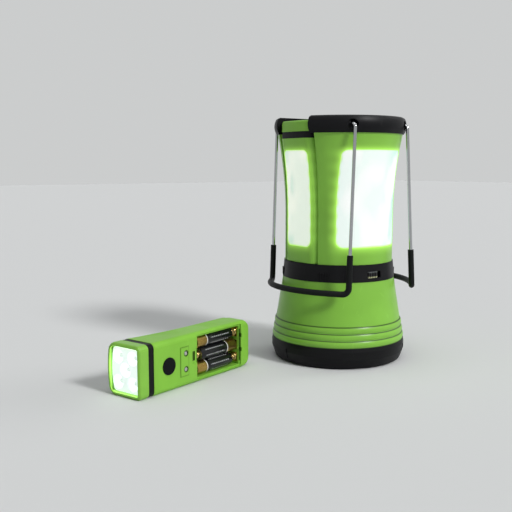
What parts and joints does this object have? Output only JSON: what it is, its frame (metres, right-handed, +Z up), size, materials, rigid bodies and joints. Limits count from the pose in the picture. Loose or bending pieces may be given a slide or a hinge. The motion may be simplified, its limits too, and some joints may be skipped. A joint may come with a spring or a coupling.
{
  "type": "camping lantern",
  "caption": "Free-standing camping lantern with flared tower, big glowing windows, two swing-up wire bails and pull-out rectangular torches, one docked and one laid beside it.",
  "frame": {"origin": "centre of the lantern's foot pad, on the surface it stands on", "axes": "+Z up the lantern; the docks face -X, which holds a torch, and +X, which is empty; the big windows face -Y and +Y"},
  "size_m": [0.2858, 0.117, 0.209],
  "materials": {
    "green_plastic": "satin",
    "black_plastic": "satin",
    "rubber": "matt",
    "grip_rubber": "satin",
    "button_rubber": "matt",
    "switch_plastic": "matt",
    "white_plastic": "gloss",
    "reflector_plastic": "polished",
    "diffuser": "frosted",
    "clear_lens": "polished",
    "led_board": "matt",
    "circuit_board": "satin",
    "contact_plate": "satin",
    "brass": "polished",
    "steel": "satin",
    "chrome": "polished",
    "main_cells": "satin",
    "small_cells": "satin"
  },
  "bodies": {
    "lantern": {"cone_shell": "green_plastic", "battery_tray": "black_plastic", "d_cells": "main_cells", "tray_contacts": "contact_plate", "waist_band": "black_plastic", "tower_shell": "green_plastic", "window_front": "diffuser", "window_back": "diffuser", "reflector_front": "white_plastic", "reflector_back": "white_plastic", "led_board_front": "led_board", "led_board_back": "led_board", "driver_board": "circuit_board", "dock_contacts": "brass", "top_cap": "black_plastic", "cap_screws": "steel"},
    "base": {"base_cover": "black_plastic", "foot_pad": "rubber", "base_seal": "rubber"},
    "mode_slider": {"mode_switch": "switch_plastic"},
    "left_bail": {"bail_wire_left": "chrome", "bail_grip_left": "grip_rubber"},
    "right_bail": {"bail_wire_right": "chrome", "bail_grip_right": "grip_rubber"},
    "docked_torch": {"docked_shell": "green_plastic", "docked_bezel": "green_plastic", "docked_band": "black_plastic", "docked_lens": "clear_lens", "docked_reflector": "reflector_plastic", "docked_head_leds": "led_board", "docked_window": "diffuser", "docked_side_leds": "led_board", "docked_studs": "chrome", "docked_cells": "small_cells", "docked_springs": "brass", "docked_cover": "green_plastic"},
    "docked_torch_button": {"docked_button": "button_rubber"},
    "loose_torch": {"loose_shell": "green_plastic", "loose_bezel": "green_plastic", "loose_band": "black_plastic", "loose_lens": "clear_lens", "loose_reflector": "reflector_plastic", "loose_head_leds": "led_board", "loose_window": "diffuser", "loose_side_leds": "led_board", "loose_studs": "chrome", "loose_cells": "small_cells", "loose_springs": "brass"},
    "loose_torch_button": {"loose_button": "button_rubber"}
  },
  "joints": [
    {"name": "base_twist", "type": "hinge", "parent": "lantern", "child": "base", "pos_m": [0, 0, 0.0182], "axis": [0, 0, 1], "range_deg": [0, 30]},
    {"name": "mode_slide", "type": "slide", "parent": "lantern", "child": "mode_slider", "axis": [1, 0, 0], "range_m": [0, 0.004]},
    {"name": "left_bail_swing", "type": "hinge", "parent": "lantern", "child": "left_bail", "pos_m": [-0.0296, 0, 0.2018], "axis": [0, 1, 0], "range_deg": [0, 178]},
    {"name": "right_bail_swing", "type": "hinge", "parent": "lantern", "child": "right_bail", "pos_m": [0.0296, 0, 0.2018], "axis": [0, -1, 0], "range_deg": [0, 175.8]},
    {"name": "torch_tip", "type": "hinge", "parent": "lantern", "child": "docked_torch", "pos_m": [-0.0466, 0, 0.0867], "axis": [0, -1, 0], "range_deg": [0, 20]},
    {"name": "docked_button_press", "type": "slide", "parent": "docked_torch", "child": "docked_torch_button", "axis": [-1, 0, 0], "range_m": [0, 0.0015], "stiffness_N_per_m": 300},
    {"name": "loose_torch_lift", "type": "slide", "parent": "lantern", "child": "loose_torch", "axis": [0, 0, 1], "range_m": [0, 0.1]},
    {"name": "loose_button_press", "type": "slide", "parent": "loose_torch", "child": "loose_torch_button", "axis": [-0.2907, 0.9568, 0], "range_m": [0, 0.0015], "stiffness_N_per_m": 300}
  ]
}
